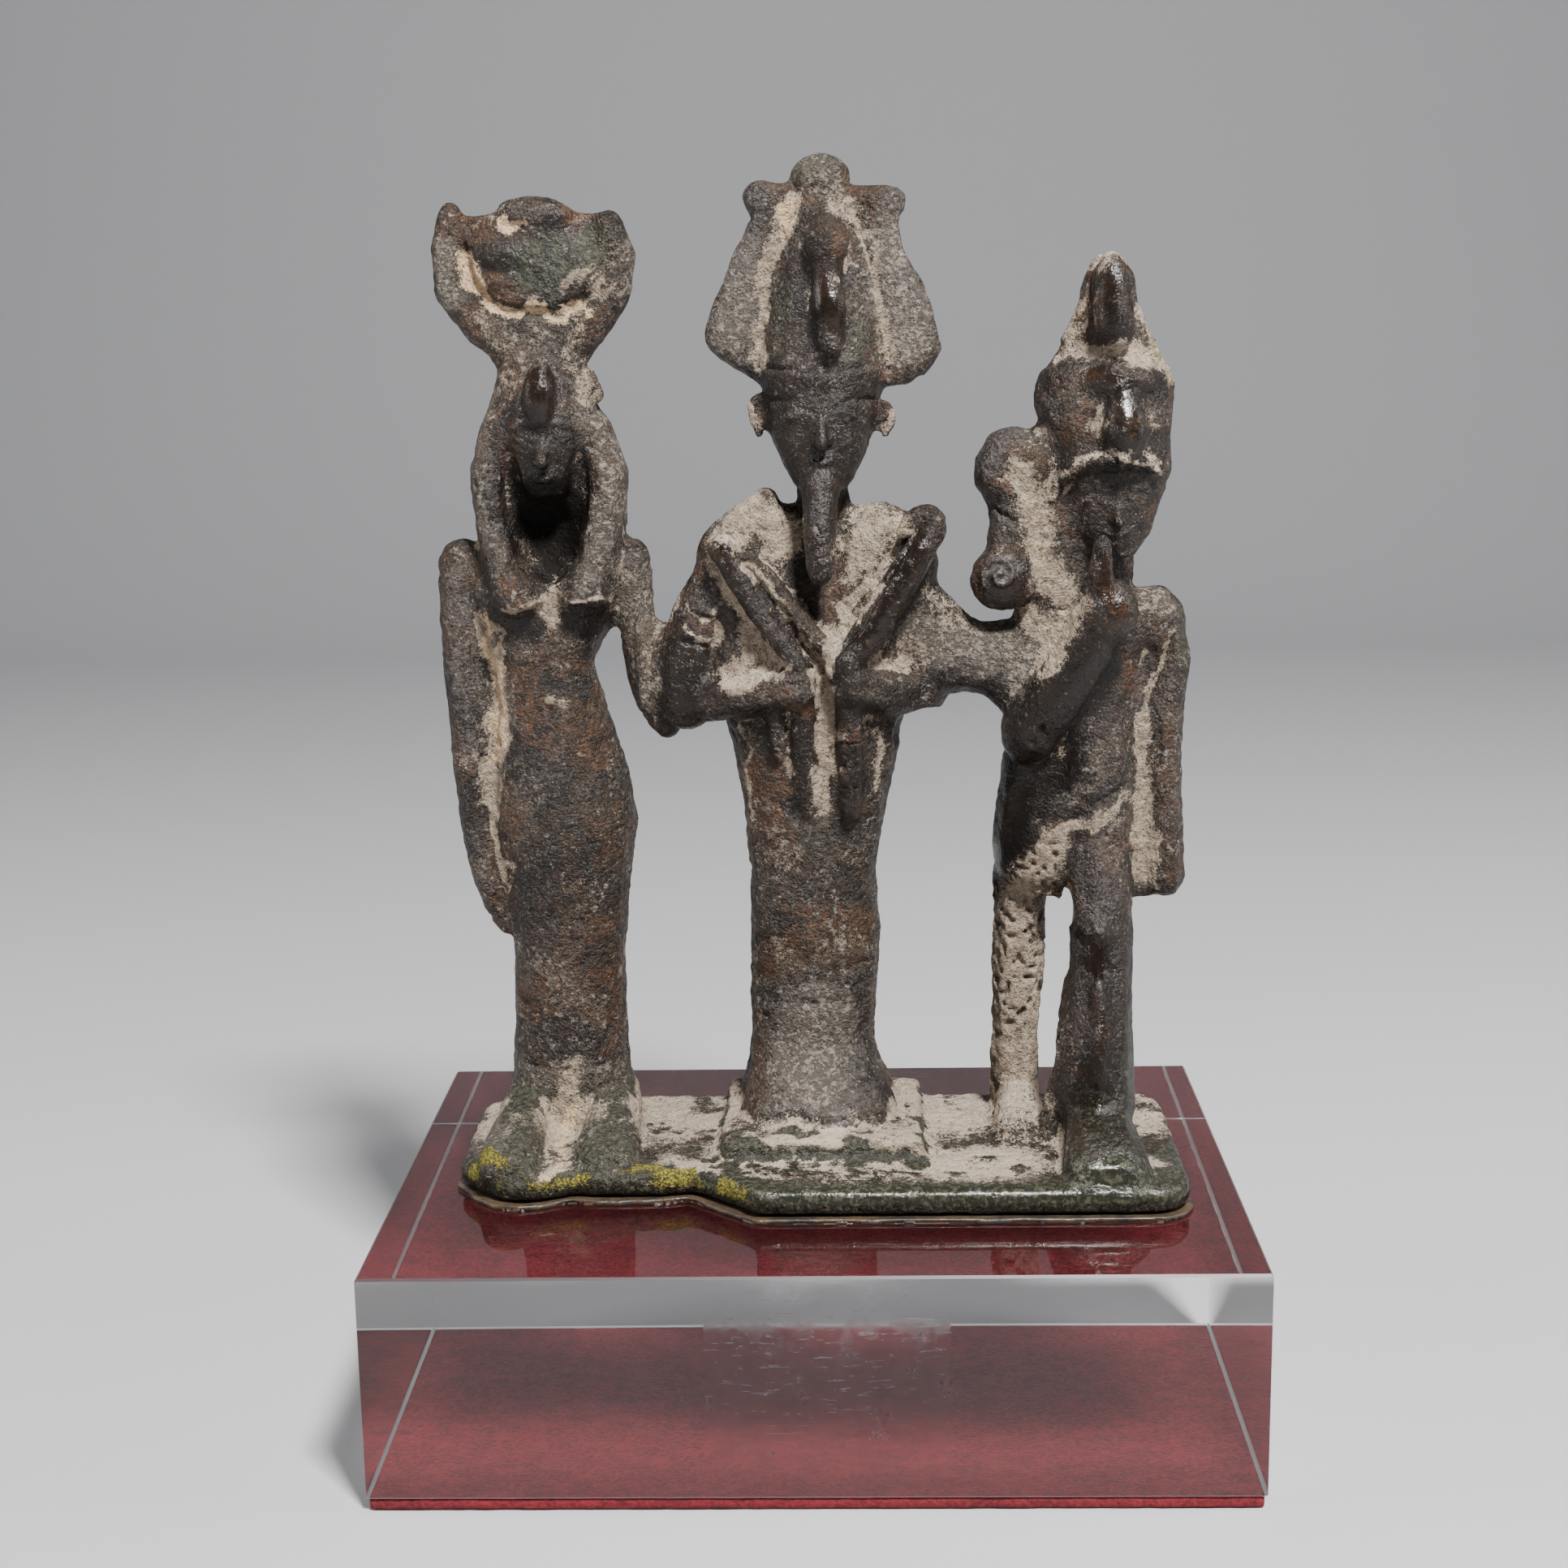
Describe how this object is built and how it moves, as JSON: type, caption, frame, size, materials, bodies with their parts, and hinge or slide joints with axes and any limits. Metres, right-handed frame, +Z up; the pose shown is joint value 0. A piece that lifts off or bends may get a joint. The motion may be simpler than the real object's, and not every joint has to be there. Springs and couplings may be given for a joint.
{
  "type": "osiris figure group",
  "caption": "Small bronze osiris figure between a goddess with horned disk and a nude child, on one base plate, fixed to a clear acrylic block with felt underneath.",
  "frame": {"origin": "centre of the felt's underside", "axes": "+Z up, +X to the viewer's right, the figures face -Y"},
  "size_m": [0.054, 0.038, 0.08],
  "materials": {
    "bronze": "dark brown patinated bronze with green corrosion and pale burial earth",
    "adhesive": "dried tan adhesive",
    "acrylic": "clear polished acrylic",
    "felt": "deep red felt"
  },
  "bodies": {
    "root": {"bronze_triad": "bronze", "adhesive_bed": "adhesive", "acrylic_block": "acrylic", "felt_pad": "felt"}
  },
  "joints": []
}
